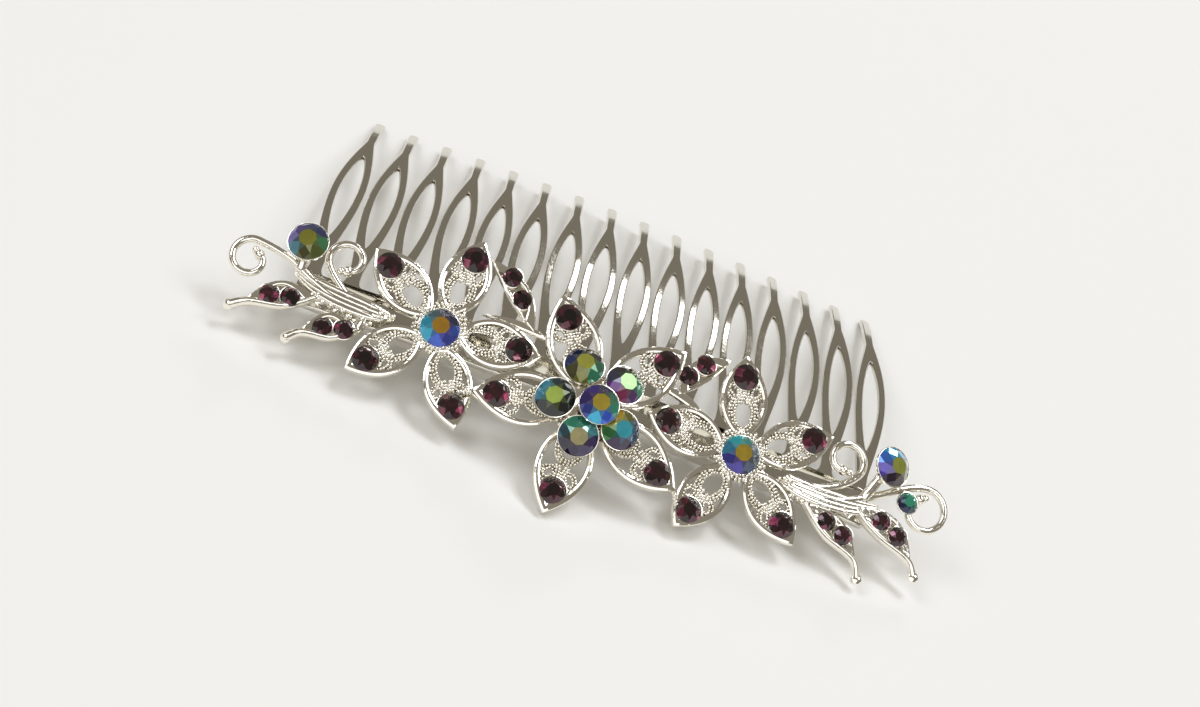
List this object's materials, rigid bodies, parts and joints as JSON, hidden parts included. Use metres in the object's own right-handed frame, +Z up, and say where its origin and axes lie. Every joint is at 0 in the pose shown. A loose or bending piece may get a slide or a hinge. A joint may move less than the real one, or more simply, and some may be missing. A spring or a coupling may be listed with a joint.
{
  "type": "decorative hair comb",
  "caption": "Silver-plated hair comb: a bowed row of looped teeth under soldered filigree flowers, leaf sprays and scrolls set with iridescent and deep purple faceted stones.",
  "frame": {"origin": "middle of the comb's footprint, on the surface that it lies on", "axes": "+X along the row of teeth, +Y towards the tooth tips, +Z up with the comb lying face up"},
  "size_m": [0.1064, 0.07, 0.0174],
  "materials": {
    "comb_metal": "bright silver plate on stamped brass sheet, mirror smooth",
    "casting_metal": "bright silver plate on cast alloy, slightly warm, with beaded filigree",
    "solder": "plated solder, softly rounded and a little duller than the castings",
    "aurora_stone": "faceted glass with an iridescent coating: olive-gold table, teal, blue and violet facets",
    "amethyst_stone": "faceted glass, dark reddish purple with pink glints"
  },
  "bodies": {
    "root": {"comb": "comb_metal", "left_flower": "casting_metal", "centre_flower": "casting_metal", "right_flower": "casting_metal", "stone_cluster": "casting_metal", "left_spray": "casting_metal", "right_spray": "casting_metal", "left_upper_leaf": "casting_metal", "right_upper_leaf": "casting_metal", "left_spray_solder": "solder", "left_flower_solder": "solder", "centre_flower_solder": "solder", "right_flower_solder": "solder", "right_spray_solder": "solder", "left_flower_centre_stone": "aurora_stone", "right_flower_centre_stone": "aurora_stone", "left_flower_petal_stone_1": "amethyst_stone", "left_flower_petal_stone_2": "amethyst_stone", "left_flower_petal_stone_3": "amethyst_stone", "left_flower_petal_stone_4": "amethyst_stone", "left_flower_petal_stone_5": "amethyst_stone", "centre_flower_petal_stone_1": "amethyst_stone", "centre_flower_petal_stone_2": "amethyst_stone", "centre_flower_petal_stone_3": "amethyst_stone", "centre_flower_petal_stone_4": "amethyst_stone", "centre_flower_petal_stone_5": "amethyst_stone", "right_flower_petal_stone_1": "amethyst_stone", "right_flower_petal_stone_2": "amethyst_stone", "right_flower_petal_stone_3": "amethyst_stone", "right_flower_petal_stone_4": "amethyst_stone", "right_flower_petal_stone_5": "amethyst_stone", "cluster_stone_1": "aurora_stone", "cluster_stone_2": "aurora_stone", "cluster_stone_3": "aurora_stone", "cluster_stone_4": "aurora_stone", "cluster_stone_5": "aurora_stone", "cluster_top_stone": "aurora_stone", "left_spray_leaf_stone_1": "amethyst_stone", "left_spray_leaf_stone_2": "amethyst_stone", "left_spray_leaf_stone_3": "amethyst_stone", "left_spray_leaf_stone_4": "amethyst_stone", "left_spray_end_stone": "aurora_stone", "right_spray_leaf_stone_1": "amethyst_stone", "right_spray_leaf_stone_2": "amethyst_stone", "right_spray_leaf_stone_3": "amethyst_stone", "right_spray_leaf_stone_4": "amethyst_stone", "right_spray_end_stone": "aurora_stone", "right_spray_scroll_stone": "aurora_stone", "left_upper_leaf_stone_1": "amethyst_stone", "left_upper_leaf_stone_2": "amethyst_stone", "right_upper_leaf_stone_1": "amethyst_stone", "right_upper_leaf_stone_2": "amethyst_stone"}
  },
  "joints": []
}
